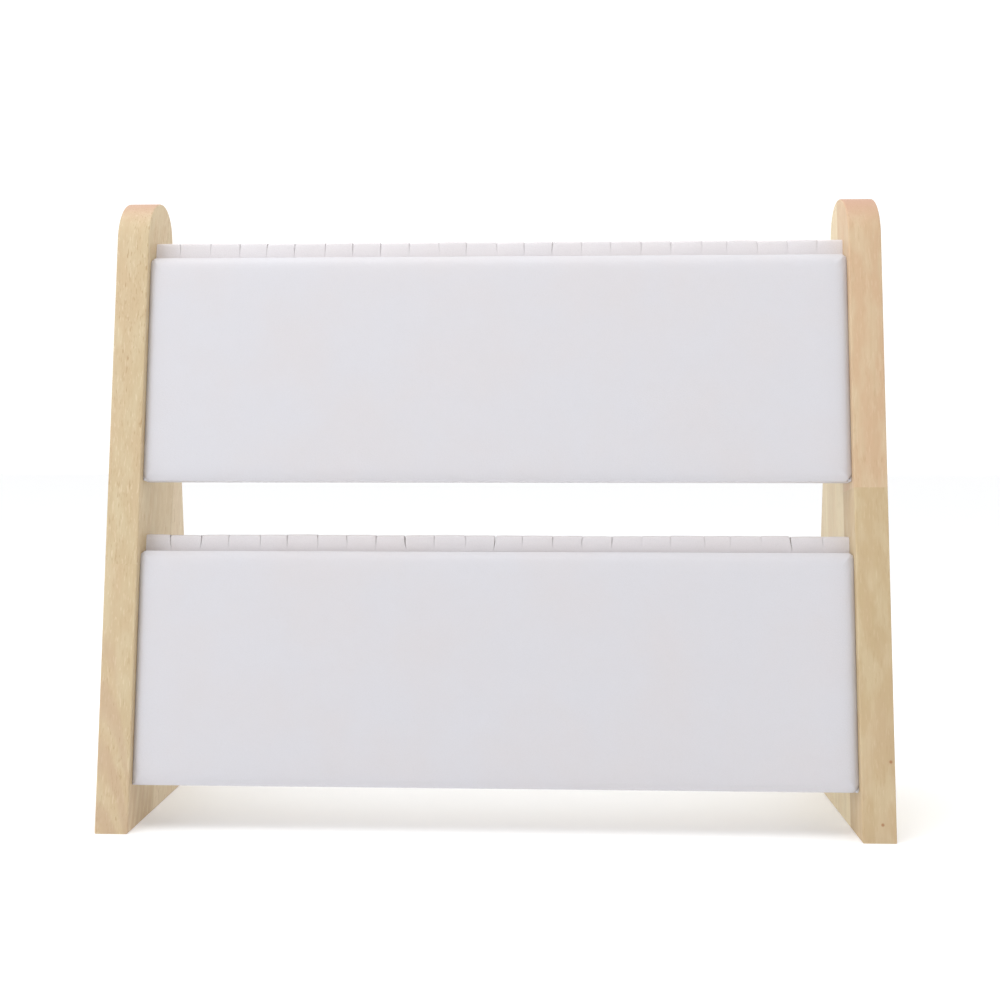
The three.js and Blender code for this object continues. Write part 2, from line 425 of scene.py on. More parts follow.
def wood_material(name, lean, glue_line, width, joint, tints, marks, knots, flame, seed):
    """Pale close-grained wood, glued up from staves that run along Z after turning by lean.

    glue_line is the place of one glue line along the turned Y axis, width that of a stave, and joint
    the height of a finger joint in the front stave. tints are the front stave's above and below that
    joint, and the rear staves'. marks are the strengths of the dark pores and of the painted
    highlights, light flecks along the grain that stand in for glints.
    knots are points with a tiny knot. flame is the (x, top, strength) of the arched figure at the foot.
    """
    material, tree, shader = new_material(name)
    place_at = coordinates(tree)
    grain = coordinates(tree, rotation=(lean, 0, 0))
    turned = add(tree, "ShaderNodeSeparateXYZ", {"Vector": grain}).outputs
    across = maths(tree, "DIVIDE", maths(tree, "SUBTRACT", turned["Y"], glue_line), width)
    stave = maths(tree, "FLOOR", across)
    stagger = maths(tree, "MULTIPLY_ADD", stave, STAVE_STAGGER, STAVE_STAGGER - joint)
    block = maths(tree, "DIVIDE", maths(tree, "ADD", turned["Z"], stagger), STAVE_BLOCK)
    block = maths(tree, "FLOOR", block)
    identity = add(tree, "ShaderNodeCombineXYZ", {"X": stave, "Y": block, "Z": seed}).outputs[0]
    chance = add(tree, "ShaderNodeTexWhiteNoise", {"Vector": identity}, noise_dimensions="3D").outputs
    own = add(tree, "ShaderNodeVectorMath", operation="ADD")
    put(tree, own.inputs[0], grain)
    put(tree, own.inputs[1], chance["Color"])
    figure = wood_figure(tree, own.outputs[0])

    below = maths(tree, "LESS_THAN", block, -0.5)
    rear = maths(tree, "GREATER_THAN", stave, -0.5)
    colour = mix(tree, rear, mix(tree, below, tints[0], tints[1]), tints[2])
    for layer, low, high, strength, tint in (
        ("broad", 0.38, 0.66, 0.4, (0.575, 0.420, 0.268)),
        ("mottle", 0.4, 0.65, 0.3, (0.660, 0.580, 0.400)),
        ("bands", 0.42, 0.68, 0.22, (0.510, 0.385, 0.232)),
        ("fine", 0.45, 0.72, 0.24, (0.480, 0.345, 0.205)),
    ):
        colour = mix(tree, spread(tree, figure[layer], low, high, 0.0, strength), colour, tint)
    pore_strength, glint_strength = marks
    # Painted highlights: light flecks along the grain, painted into the colour in place of glints
    flecks = maths(tree, "MULTIPLY", spread(tree, figure["flecks"], 0.57, 0.72), glint_strength)
    colour = mix(tree, flecks, colour, (0.800, 0.690, 0.510))
    pores = spread(tree, figure["pores"], 0.57, 0.7)
    pores = maths(tree, "MULTIPLY", pores, spread(tree, figure["pore_patches"], 0.38, 0.6))
    pores = maths(tree, "MULTIPLY", pores, pore_strength)
    colour = mix(tree, pores, colour, (0.390, 0.240, 0.120))
    flames = flame_share(tree, flame, turned, figure["mottle"], rear)
    colour = mix(tree, flames, colour, (0.500, 0.350, 0.235))

    in_stave = maths(tree, "FRACT", across)
    from_line = maths(tree, "MINIMUM", in_stave, maths(tree, "SUBTRACT", 1.0, in_stave))
    line = spread(tree, from_line, 0.003, 0.016, 0.14, 0.0)
    colour = mix(tree, line, colour, (0.330, 0.230, 0.130))
    if knots:
        colour = mix(tree, knot_share(tree, place_at, knots), colour, (0.330, 0.130, 0.050))
    tubes = cells(tree, stretched(tree, place_at, (1, 1, 0.6)), 1700)
    tubes = spread(tree, tubes, 0.1, 0.4, 0.35, 0.0)
    end_colour = mix(tree, tubes, (0.520, 0.300, 0.212), (0.385, 0.215, 0.138))
    colour = mix(tree, end_grain_share(tree, lean), colour, end_colour)
    put(tree, shader.inputs["Base Color"], colour)

    rough = maths(tree, "MULTIPLY_ADD", figure["broad"], 0.1, 0.38)
    rough = maths(tree, "MULTIPLY_ADD", figure["fine"], 0.16, rough)
    put(tree, shader.inputs["Roughness"], rough)
    shader.inputs["Specular IOR Level"].default_value = 0.35
    surface = maths(tree, "SUBTRACT", figure["fine"], maths(tree, "MULTIPLY", pores, 1.6))
    surface = maths(tree, "SUBTRACT", surface, line)
    put(tree, shader.inputs["Normal"], bump(tree, surface, 0.05 * MM, 0.5))
    return material


def leatherette_material(name, tint, warmth):
    """White coated cloth: a fine pebbled grain with faint handling marks."""
    material, tree, shader = new_material(name)
    place_at = coordinates(tree)
    polish = noise(tree, place_at, 500, 2)
    inputs = {"Vector": place_at, "Scale": 700.0, "Detail": 1.0}
    wander = add(tree, "ShaderNodeTexNoise", inputs).outputs["Color"]
    moved = add(tree, "ShaderNodeVectorMath", operation="MULTIPLY_ADD")
    put(tree, moved.inputs[0], wander)
    moved.inputs[1].default_value = (0.6 * MM, 0.6 * MM, 0.6 * MM)
    put(tree, moved.inputs[2], place_at)
    pebbles = cells(tree, moved.outputs[0], 1150, feature="SMOOTH_F1")
    creases = cells(tree, moved.outputs[0], 1150, feature="DISTANCE_TO_EDGE")
    groove = spread(tree, creases, 0.0, 0.11, 1.0, 0.0)
    cloudy = noise(tree, place_at, 24, 3, 0.55)
    specks = spread(tree, noise(tree, place_at, 260, 2, 0.4), 0.72, 0.8)

    colour = mix(tree, spread(tree, cloudy, 0.3, 0.75), tint, warmth)
    # Painted shade: the creases between the pebbles are darkened towards grey
    colour = mix(tree, maths(tree, "MULTIPLY", groove, 0.16), colour, (0.55, 0.54, 0.54))
    colour = mix(tree, maths(tree, "MULTIPLY", specks, 0.1), colour, (0.6, 0.56, 0.53))
    put(tree, shader.inputs["Base Color"], colour)
    rough = maths(tree, "MULTIPLY_ADD", groove, 0.12, spread(tree, polish, 0.3, 0.7, 0.44, 0.54))
    put(tree, shader.inputs["Roughness"], rough)
    shader.inputs["Specular IOR Level"].default_value = 0.38
    relief = maths(tree, "MULTIPLY_ADD", groove, -0.5, maths(tree, "MULTIPLY", pebbles, -0.6))
    soft = bump(tree, noise(tree, place_at, 95, 2, 0.45), 0.25 * MM, 0.25)
    put(tree, shader.inputs["Normal"], bump(tree, relief, 0.06 * MM, 0.5, soft))
    return material


def foam_material(name, pale, shade):
    """Open-cell foam: small round cells, most of them closed by a skin where it was cut."""
    material, tree, shader = new_material(name)
    place_at = coordinates(tree)
    large = cells(tree, place_at, 1400)
    small = cells(tree, place_at, 3300)
    hollow = spread(tree, large, 0.1, 0.55, 1.0, 0.0)
    # Painted shade: the hollows of the cells, large and small, are darkened towards the shade colour
    colour = mix(tree, hollow, pale, shade)
    colour = mix(tree, spread(tree, small, 0.1, 0.5, 0.25, 0.0), colour, shade)
    put(tree, shader.inputs["Base Color"], colour)
    put(tree, shader.inputs["Roughness"], spread(tree, large, 0.0, 0.6, 0.95, 0.8))
    put(tree, shader.inputs["Normal"], bump(tree, maths(tree, "ADD", large, small), 0.15 * MM, 0.7))
    return material


def fibreboard_material(name):
    """Pressed wood fibre: tan, with lighter and darker flecks and a dusty surface."""
    material, tree, shader = new_material(name)
    place_at = coordinates(tree)
    flecks = noise(tree, stretched(tree, place_at, (1, 1.6, 1)), 1300, 4, 0.7)
    clouds = noise(tree, place_at, 60, 3, 0.5)
    strands = cells(tree, stretched(tree, place_at, (0.3, 1, 1)), 900)
    colour = mix(tree, spread(tree, flecks, 0.3, 0.7), (0.47, 0.31, 0.17), (0.34, 0.2, 0.1))
    colour = mix(tree, spread(tree, clouds, 0.3, 0.8, 0.0, 0.35), colour, (0.52, 0.37, 0.22))
    colour = mix(tree, spread(tree, strands, 0.02, 0.12, 0.35, 0.0), colour, (0.62, 0.47, 0.3))
    put(tree, shader.inputs["Base Color"], colour)
    put(tree, shader.inputs["Roughness"], spread(tree, flecks, 0.2, 0.8, 0.78, 0.95))
    put(tree, shader.inputs["Normal"], bump(tree, flecks, 0.08 * MM, 0.6))
    return material


def lining_material(name):
    """Off-white lining cloth in a fine plain weave, in the tiers' own axes."""
    material, tree, shader = new_material(name)
    place_at = coordinates(tree, rotation=(LEAN, 0, 0))
    warp, weft = [waves(tree, place_at, 520.0, 1.2, direction) for direction in "XZ"]
    weave = maths(tree, "MULTIPLY", warp, weft)
    slubs = noise(tree, stretched(tree, place_at, (0.12, 1, 1)), 900, 2, 0.6)
    clouds = noise(tree, place_at, 45, 3)
    colour = mix(tree, weave, (0.62, 0.59, 0.54), (0.78, 0.76, 0.72))
    colour = mix(tree, spread(tree, slubs, 0.5, 0.75, 0.0, 0.3), colour, (0.82, 0.8, 0.76))
    colour = mix(tree, spread(tree, clouds, 0.4, 0.8, 0.0, 0.2), colour, (0.66, 0.61, 0.53))
    put(tree, shader.inputs["Base Color"], colour)
    put(tree, shader.inputs["Roughness"], spread(tree, weave, 0.0, 1.0, 0.92, 0.8))
    shader.inputs["Sheen Weight"].default_value = 0.15
    put(tree, shader.inputs["Normal"], bump(tree, maths(tree, "ADD", weave, slubs), 0.08 * MM, 0.7))
    return material


def screw_material(name):
    """Zinc-plated steel with fine turning marks and dull patches."""
    material, tree, shader = new_material(name)
    place_at = coordinates(tree)
    patches = noise(tree, place_at, 900, 3, 0.6)
    marks = noise(tree, stretched(tree, place_at, (0.1, 1, 1)), 5200, 2, 0.5)
    colour = mix(tree, patches, (0.66, 0.67, 0.68), (0.5, 0.5, 0.49))
    put(tree, shader.inputs["Base Color"], colour)
    put(tree, shader.inputs["Roughness"], spread(tree, patches, 0.3, 0.7, 0.24, 0.42))
    shader.inputs["Metallic"].default_value = 1.0
    put(tree, shader.inputs["Normal"], bump(tree, marks, 0.02 * MM, 0.5))
    return material


def floor_material(name):
    """Pale matt floor. Its weak glow stands in for the light that a white sweep would send back."""
    material, tree, shader = new_material(name)
    place_at = coordinates(tree)
    colour = mix(tree, noise(tree, place_at, 3, 2), (0.842, 0.850, 0.862), (0.832, 0.840, 0.852))
    put(tree, shader.inputs["Base Color"], colour)
    put(tree, shader.inputs["Roughness"], spread(tree, noise(tree, place_at, 40, 2), 0.3, 0.7, 0.6, 0.7))
    shader.inputs["Specular IOR Level"].default_value = 0.25
    shader.inputs["Emission Color"].default_value = (0.97, 0.985, 1.0, 1)
    shader.inputs["Emission Strength"].default_value = 0.19
    return material


# ---------------------------------------------------------------- end panels

def panel_outline(inset, arc_steps=26, straight_steps=24):
    """The tapered outline in (depth, height) from the front foot, moved inwards by inset."""
    low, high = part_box("left_end_panel")
    base, height = high.y - low.y, high.z - low.z
    back_lean = math.atan(BACK_SLOPE)
    front_run = FRONT_ARC * (1 / math.cos(LEAN) - FRONT_SLOPE)
    flat_top = base - (FRONT_SLOPE + BACK_SLOPE) * height
    rear_arc = (flat_top - front_run) / (1 / math.cos(back_lean) - BACK_SLOPE)
    crest = FRONT_SLOPE * height + front_run
    arcs = [(FRONT_ARC, math.pi - LEAN, math.pi / 2), (rear_arc, math.pi / 2, back_lean)]
    arc = []
    for radius, start, end in arcs:
        for i in range(arc_steps):
            angle = start + (end - start) * i / (arc_steps - 1)
            reach = radius - inset
            arc.append((crest + reach * math.cos(angle), height - radius + reach * math.sin(angle)))
    del arc[arc_steps]  # the crest, which both arcs have
    front_foot = (FRONT_SLOPE * inset + inset / math.cos(LEAN), inset)
    back_foot = (base - BACK_SLOPE * inset - inset / math.cos(back_lean), inset)
    front = [lerp(front_foot, arc[0], i / straight_steps) for i in range(straight_steps)]
    back = [lerp(arc[-1], back_foot, i / straight_steps) for i in range(1, straight_steps + 1)]
    return front + arc + back


def lerp(a, b, share):
    return tuple(p + (q - p) * share for p, q in zip(a, b))


def screw_places():
    """(node, its panel's side, place of its head, its length) of every screw, from the CAD solids."""
    found = []
    for tier in TIERS:
        for side_name, side in SIDES.items():
            for level in ("bottom", "top"):
                node = f"{tier}_{side_name}_{level}_screw"
                low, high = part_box(node)
                outer = high.x if side > 0 else low.x
                head = Vector((outer, (low.y + high.y) / 2, (low.z + high.z) / 2))
                found.append((node, side, head, high.x - low.x))
    return found


def lathe(name, profile, segments, materials=()):
    """A closed turned form. The profile is (radius, x) from axis to axis, turned about X."""
    points = []
    rings = []
    for radius, x in profile:
        if radius == 0:
            rings.append([len(points)])
            points.append((x, 0.0, 0.0))
            continue
        ring = []
        for i in range(segments):
            angle = 2 * math.pi * i / segments
            ring.append(len(points))
            points.append((x, radius * math.cos(angle), radius * math.sin(angle)))
        rings.append(ring)
    faces = []
    for low, high in zip(rings, rings[1:]):
        for i in range(segments):
            j = (i + 1) % segments
            corners = [low[i % len(low)], low[j % len(low)], high[j % len(high)], high[i % len(high)]]
            faces.append(list(dict.fromkeys(corners)))
    return make_object(name, points, faces, materials)


def hole_cutter(side, head, length):
    """The form that clears a screw's shank and its countersunk head."""
    cutter = lathe("cutter", [
        (0, side * -length), (HOLE_RADIUS, side * -length), (HOLE_RADIUS, side * -HEAD_DEPTH),
        (MOUTH_RADIUS, 0), (PAST_FACE_RADIUS, side * PAST_FACE), (0, side * PAST_FACE),
    ], 48)
    cutter.location = head
    return cutter


def make_panel(side_name, material):
    """An end panel whose edges are eased, with a countersunk hole for each screw."""
    side = SIDES[side_name]
    low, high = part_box(f"{side_name}_end_panel")
    ease_steps = 5
    sections = []
    for i in range(ease_steps + 1):
        angle = math.pi / 2 * i / ease_steps
        sections.append((EDGE_EASE * (1 - math.cos(angle)), EDGE_EASE * (1 - math.sin(angle))))
    layers = [(low.x + out, inset) for out, inset in sections]
    layers += [(high.x - out, inset) for out, inset in reversed(sections)]
    points = []
    for x, inset in layers:
        points += [(x, low.y + depth, low.z + height) for depth, height in panel_outline(inset)]
    around = len(points) // len(layers)
    faces = []
    for layer in range(len(layers) - 1):
        for i in range(around):
            j = (i + 1) % around
            base = layer * around
            faces.append([base + i, base + j, base + around + j, base + around + i])
    faces.append(list(range(around)))
    faces.append(list(range((len(layers) - 1) * around, len(layers) * around)))
    panel = make_object(f"{side_name}_wood_panel", points, faces, [material], smooth=False)
    own_screws = [found for found in screw_places() if found[1] == side]
    cut_away(panel, [hole_cutter(side, head, length) for _, _, head, length in own_screws])
    shade_smooth(panel, 35)
    place(panel, f"{side_name}_end_panel")


# ---------------------------------------------------------------- screws

def screw_mesh(length, material):
    """A countersunk screw along +X, with its head's face at 0 and a hexagon socket."""
    profile = [(0, -length), (0.5 * MM, -length + 0.6 * MM)]
    x = -length + 2.6 * MM
    while x < THREAD_END:
        grow = min(1.0, (x + length) / POINT_LENGTH)
        profile += [(THREAD_ROOT * grow, x - 0.45 * THREAD_PITCH), (THREAD_CREST * grow, x)]
        profile.append((1.5 * MM * grow, x + 0.3 * THREAD_PITCH))
        x += THREAD_PITCH
    profile += [(1.6 * MM, -14 * MM), (1.6 * MM, -3 * MM), (1.9 * MM, -HEAD_DEPTH)]
    profile += [(3.75 * MM, -0.45 * MM), (3.95 * MM, -0.25 * MM), (3.95 * MM, -0.12 * MM)]
    profile += [(3.8 * MM, 0), (2.2 * MM, 0), (0, 0)]
    screw = lathe("screw", profile, 40, [material])
    socket = [(0, -1.9 * MM), (1.7 * MM, -1.6 * MM), (1.7 * MM, -0.25 * MM)]
    socket += [(2.05 * MM, 0.2 * MM), (0, 0.2 * MM)]
    cut_away(screw, [lathe("socket", socket, 6)])
    shade_smooth(screw, 30)
    return screw


def make_screws(material):
    """One screw mesh, copied to every place, each copy turned by chance on its axis."""
    chance = random.Random(4)
    places = screw_places()
    pattern = screw_mesh(places[0][3], material)
    for node, side, head, _ in places:
        name = node.replace("screw", "countersunk_screw")
        screw = bpy.data.objects.new(name, pattern.data.copy())
        bpy.context.scene.collection.objects.link(screw)
        turn = Matrix.Rotation(chance.uniform(0, math.pi), 4, "X")
        if side < 0:
            turn = Matrix.Rotation(math.pi, 4, "Z") @ turn
        screw.data.transform(Matrix.Translation(head) @ turn)
        place(screw, node)
    bpy.data.objects.remove(pattern)


# ---------------------------------------------------------------- pads

def inner_width():
    """Clear width between the end panels."""
    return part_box("right_end_panel")[0].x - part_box("left_end_panel")[1].x


def swell(points, faces, held):
    """How a closed pad's points move under pressure from inside: a short cloth simulation.

    It runs on a copy ten times the size, because cloth this small hardly feels the pressure.
    """
    balloon = make_object("swelling", points * SWELL_SCALE, faces, [], smooth=False)
    group = balloon.vertex_groups.new(name="held")
    group.add([int(i) for i in np.flatnonzero(held)], 1.0, "REPLACE")
    cloth = balloon.modifiers.new("swell", "CLOTH")
    cloth.settings.quality = 5
    cloth.settings.vertex_group_mass = "held"
    cloth.settings.use_pressure = True
    cloth.settings.uniform_pressure_force = SWELL_PRESSURE
    cloth.settings.effector_weights.gravity = 0
    cloth.point_cache.frame_start = 1
    cloth.point_cache.frame_end = SWELL_FRAMES
    for number in range(1, SWELL_FRAMES + 1):
        bpy.context.scene.frame_set(number)
    graph = bpy.context.evaluated_depsgraph_get()
    swollen = np.array([v.co for v in balloon.evaluated_get(graph).to_mesh().vertices])
    bpy.data.objects.remove(balloon)
    bpy.context.scene.frame_set(1)
    return swollen / SWELL_SCALE - points


def capped(moved, limit):
    """Shortens each move smoothly, so that none is longer than the limit."""
    length = np.linalg.norm(moved, axis=1, keepdims=True)
    return moved * limit * (1 - np.exp(-length / limit)) / np.maximum(length, 1e-9)


def draw_back(points, half):
    """Draws the front of the cover back where it goes over the top edge and down to the end panels."""
    out = points.copy()
    front = np.clip(-points[:, 1] / half[1], 0, 1)
    for axis, (depth, reach) in ((2, TOP_DRAW), (0, SIDE_DRAW)):
        away = half[axis] - (points[:, axis] if axis == 2 else np.abs(points[:, axis]))
        out[:, 1] += depth * np.exp(-np.maximum(away, 0) / reach) * front
    return out


def corner_folds(points, half, depths):
    """Sinks a short slanting fold into the cover at each lower corner."""
    out = points.copy()
    for side, depth in depths.items():
        from_side = half[0] - side * points[:, 0]
        from_foot = points[:, 2] + half[2]
        off_line = np.abs(from_foot - FOLD_SLOPE * (FOLD_START - from_side)) / FOLD_WIDTH
        reach = np.clip((FOLD_REACH - from_side) / MM, 0, 1) * (points[:, 1] < half[1] * 0.5)
        sink = depth * np.exp(-off_line ** 2) * reach
        out[:, 1] += sink
        out[:, 2] += sink * FOLD_DROP
    return out


def make_pad(tier, leather, foam):
    """A pad's cover, swollen by its foam and drawn back at its edges, and the foam inside it."""
    node = f"{tier}_pad_cover"
    centre, (_, thickness, height) = leaning_box(node, PAD_ROUNDING)
    width = inner_width() - 2 * SIDE_CLEARANCE
    size = (width, thickness - PAD_CROWN, height)
    half = [s / 2 for s in size]
    axes = (
        rounded_axis(half[0], PAD_EDGE, 4 * MM, fine=FINE_BAND, fine_cell=FINE_CELL),
        rounded_axis(half[1], PAD_EDGE, 1 * MM),
        rounded_axis(half[2], PAD_EDGE, 4 * MM, fine=FINE_BAND, fine_cell=FINE_CELL),
    )
    points, faces = rounded_slab(size, PAD_EDGE, axes)
    held = points[:, 1] > PAD_EDGE * 0.9 - half[1]
    points = points + capped(swell(points, faces, held), PAD_CROWN)
    points = round_corners(draw_back(points, half), half, PAD_CORNERS)
    points = corner_folds(points, half, FOLD_DEPTHS[tier])
    points[:, 1] += PAD_CROWN / 2
    shell = make_object(f"{tier}_leatherette_pad", to_frame(points, centre), faces, [leather])
    open_rear(shell, centre, half)
    thicken(shell, COVER)
    place(shell, node)
    make_pad_foam(tier, foam)


def open_rear(shell, centre, half):
    """Removes the rear face inside the turned-over margin, where the board shows."""
    turn = np.array(TIER_TURN)
    bm = bmesh.new()
    bm.from_mesh(shell.data)
    doomed = []
    for face in bm.faces:
        across, rear, up = (np.array(face.calc_center_median()) - np.array(centre)) @ turn
        inside = abs(across) < half[0] - TURNOVER and abs(up) < half[2] - TURNOVER
        if inside and rear > 0:
            doomed.append(face)
    bmesh.ops.delete(bm, geom=doomed, context="FACES")
    bm.to_mesh(shell.data)
    bm.free()


def thicken(piece, thickness):
    """Gives a surface its thickness, inwards."""
    solid = piece.modifiers.new("thickness", "SOLIDIFY")
    solid.thickness = thickness
    solid.offset = -1
    solid.use_even_offset = True
    settle(piece)
    shade_smooth(piece, 50)


def make_pad_foam(tier, material):
    """The pad's foam: a slab that is crowned like the cover in front of it."""
    node = f"{tier}_pad_foam"
    rounding = PAD_ROUNDING - FOAM_INSET
    centre, (width, thickness, height) = leaning_box(node, rounding)
    size = (width, thickness - PAD_CROWN, height)
    half = [s / 2 for s in size]
    edge = rounding * FOAM_EDGE_SHARE
    axes = [rounded_axis(h, edge, cell, 3) for h, cell in zip(half, (5 * MM, 1 * MM, 5 * MM))]
    points, faces = rounded_slab(size, edge, axes)
    arches = [np.cos(points[:, axis] / half[axis] * math.pi / 2) ** 0.3 for axis in (0, 2)]
    crown = PAD_CROWN * FOAM_CROWN_SHARE * arches[0] * arches[1]
    points[:, 1] -= np.where(points[:, 1] < 0, crown, 0)
    points[:, 1] += PAD_CROWN / 2
    block = make_object(f"{tier}_foam_sheet", to_frame(points, centre), faces, [material])
    place(block, node)


# ---------------------------------------------------------------- slit strips

class Slit:
    """One cut across a strip: how it wanders and how far it gapes, as the height above its foot grows."""

    def __init__(self, x, gape, chance):
        self.x = x + chance.uniform(-0.5, 0.5) * MM
        self.slant = chance.gauss(0, 0.3) * MM
        self.bow = chance.gauss(0, 0.22) * MM
        self.skew = chance.gauss(0, 0.04)
        self.gape = gape * MM
        if gape > WIDE_GAPE:
            self.slant = chance.choice((-1, 1)) * WIDE_SLANT

    def at(self, share, depth, side):
        """Place of the cut's edge. Share is 0 at its foot and 1 at the strip's top."""
        middle = self.x + self.slant * share + self.bow * math.sin(math.pi * share) + self.skew * depth
        return middle + side * (SAW_CUT + self.gape * share) / 2


def strip_section(thickness, top, foot, bottom, rounding):
    """Points (depth, height) up a strip's front, over its top and down its rear."""
    half = thickness / 2
    arc_steps = 5
    front = [(-half, h) for h in (bottom, (bottom + foot) / 2)]
    front += [(-half, h) for h in steps(foot, top - rounding, 1 * MM)]
    for i in range(1, arc_steps + 1):
        angle = math.pi / 2 * i / arc_steps
        height = top - rounding + rounding * math.sin(angle)
        front.append((-half + rounding * (1 - math.cos(angle)), height))
    crest = [(d, top) for d in steps(-half + rounding, half - rounding, 1.6 * MM)[1:-1]]
    rear = [(-d, h) for d, h in reversed(front)]
    return front + crest + rear


class Finger:
    """The block between two slits: it leans, lifts and sags a little on its own."""

    def __init__(self, left, right, chance):
        self.left = left
        self.right = right
        self.push = chance.gauss(0, 0.07) * MM
        self.lift = chance.gauss(0, 0.1) * MM
        self.tip = chance.gauss(0, 0.006)
        self.twist = chance.gauss(0.022, 0.012)

    def point(self, across, depth, height, foot, top, lip):
        """Across is 0..1 from the left slit to the right one. Lip pulls the section in at a cut."""
        share = max(0.0, (height - foot) / (top - foot))
        ease = share * share * (3 - 2 * share)
        left = self.left.at(share, depth, 1) if isinstance(self.left, Slit) else self.left
        right = self.right.at(share, depth, -1) if isinstance(self.right, Slit) else self.right
        x = left + (right - left) * across
        off_centre = (across - 0.5) * (right - left)
        full = FINGER_FULLNESS * ease * (1 - (2 * across - 1) ** 2)
        y = depth + (self.push - self.twist * off_centre) * ease
        y += (full - lip * share) * (1 if depth > 0 else -1)
        z = height + (self.lift + self.tip * off_centre + full - lip) * ease
        return (x, y, z)


def strip_stations(is_cut_left, is_cut_right):
    """(place across a finger, how far the section is pulled in) from its left side to its right."""
    left = WORN_EDGE if is_cut_left else ((0.0, 0.0),)
    right = CRISP_EDGE if is_cut_right else ((0.0, 0.0),)
    middle = [(a, 0.0) for a in (0.2, 0.4, 0.6, 0.8)]
    return [*left, *middle, *((1 - a, lip) for a, lip in reversed(right))]


def make_slits(tier, chance):
    """The strip's slits from left to right, a few of them gaping."""
    middle = (SLIT_COUNT - 1) / 2
    slits = []
    for i in range(SLIT_COUNT):
        gape = GAPING_SLITS[tier].get(i, chance.uniform(0.0, SLIT_SLACK[tier]))
        slits.append(Slit((i - middle) * SLIT_PITCH, gape, chance))
    return slits


def finger_blocks(slits, half_width, chance):
    """The blocks between the strip's left end, its slits and its right end."""
    edges = [-half_width, *slits, half_width]
    return [Finger(a, b, chance) for a, b in zip(edges, edges[1:])]


def strip_surface(fingers, section, foot, top, closed):
    """Skin of a slit strip. Closed adds the cut faces and the slits' floors, for the foam inside."""
    points = []
    faces = []
    columns = []
    rungs = range(len(section) - 1)
    foot_front = next(i for i, (_, h) in enumerate(section) if h >= foot - 1e-9)
    foot_rear = len(section) - 1 - foot_front
    previous_end = None
    for number, finger in enumerate(fingers):
        stations = strip_stations(number > 0, number < len(fingers) - 1)
        block = []
        for across, lip in stations:
            column = []
            for depth, height in section:
                column.append(len(points))
                points.append(finger.point(across, depth, height, foot, top, lip))
            block.append(column)
        for a, b in zip(block, block[1:]):
            faces += ladder(a, b, rungs)
        if previous_end is not None:
            a, b = previous_end, block[0]
            faces += ladder(a, b, [i for i in rungs if i < foot_front or i >= foot_rear])
            if closed:
                faces.append([a[foot_front], b[foot_front], b[foot_rear], a[foot_rear]])
        if closed:
            if number > 0:
                faces.append(block[0][foot_front:foot_rear + 1])
            if number < len(fingers) - 1:
                faces.append(block[-1][foot_front:foot_rear + 1])
        previous_end = block[-1]
        columns += block
    faces += [columns[0], columns[-1]]
    if closed:
        faces += ladder([c[0] for c in columns], [c[-1] for c in columns], range(len(columns) - 1))
    return points, faces


def make_strip(tier, leather, foam, chance):
    """A strip's cut cover, and the cut foam bar inside it, whose cuts are the same."""
    node = f"{tier}_slit_cover"
    centre, (_, thickness, height) = leaning_box(node, STRIP_ROUNDING)
    width = inner_width() - 2 * SIDE_CLEARANCE
    top = height / 2 + STRIP_LIFT[tier]
    foot = height / 2 - SLIT_DEPTH
    slits = make_slits(tier, chance)
    fingers = finger_blocks(slits, width / 2, chance)
    section = strip_section(thickness, top, foot, -height / 2, STRIP_ROUNDING)
    points, faces = strip_surface(fingers, section, foot, top, closed=False)
    skin = make_object(f"{tier}_leatherette_slit_strip", to_frame(points, centre), faces, [leather])
    thicken(skin, STRIP_SKIN)
    place(skin, node)

    inset = STRIP_SKIN + STRIP_CORE_GAP
    inner_top = top - inset
    for finger in (fingers[0], fingers[-1]):
        finger.left = finger.left if isinstance(finger.left, Slit) else -width / 2 + inset
        finger.right = finger.right if isinstance(finger.right, Slit) else width / 2 - inset
    section = strip_section(thickness - 2 * inset, inner_top, foot, -height / 2, STRIP_ROUNDING * 0.5)
    points, faces = strip_surface(fingers, section, foot, inner_top, closed=True)
    core = make_object(f"{tier}_slit_foam_bar", to_frame(points, centre), faces, [foam])
    shade_smooth(core, 35)
    place(core, f"{tier}_slit_foam")


# ---------------------------------------------------------------- rear lining

def make_lining(tier, material):
    """A thin sheet over the cross board's rear, a little uneven, with rounded corners."""
    node = f"{tier}_back_lining"
    centre, (width, _, height) = leaning_box(node)
    chance = random.Random(9 if tier == "lower" else 10)
    phase = [chance.uniform(0, 6.28) for _ in range(3)]
    xs = rounded_axis(width / 2, LINING_CORNER, 4 * MM)
    zs = rounded_axis(height / 2, LINING_CORNER, 4 * MM)
    points = []
    for z in zs:
        for x in xs:
            wave = math.sin(x * 70 + phase[0]) * math.sin(z * 60 + phase[1])
            wave += 0.5 * math.sin(x * 160 + z * 90 + phase[2])
            points.append((x, LINING_RIPPLE * wave, z))
    corners = {(side, level): LINING_CORNER for side in (-1, 1) for level in (-1, 1)}
    points = round_corners(np.array(points), (width / 2, 0, height / 2), corners)
    rows = [range(j * len(xs), (j + 1) * len(xs)) for j in range(len(zs))]
    faces = []
    for lower, upper in zip(rows, rows[1:]):
        faces += ladder(lower, upper, range(len(xs) - 1))
    sheet = make_object(f"{tier}_lining_sheet", to_frame(points, centre), faces, [material])
    thicken(sheet, LINING_THICKNESS)
    place(sheet, node)


# ---------------------------------------------------------------- stage

FLOOR_HALF = 6.0

# name, place, point it faces, (width, height), watts, colour
SOFTBOXES = (
    ("left_softbox", (-1.9, -1.6, 0.8), (0, 0, 0.12), (3.0, 2.2), 28, (0.97, 0.985, 1.0)),
    ("overhead_softbox", (-0.1, -0.22, 1.0), (0, 0, 0.1), (0.8, 0.5), 3.8, (1.0, 1.0, 1.0)),
    ("warm_fill", (0.9, -0.6, 0.3), (0, 0, 0.12), (0.6, 0.6), 0.5, (1.0, 0.86, 0.68)),
)


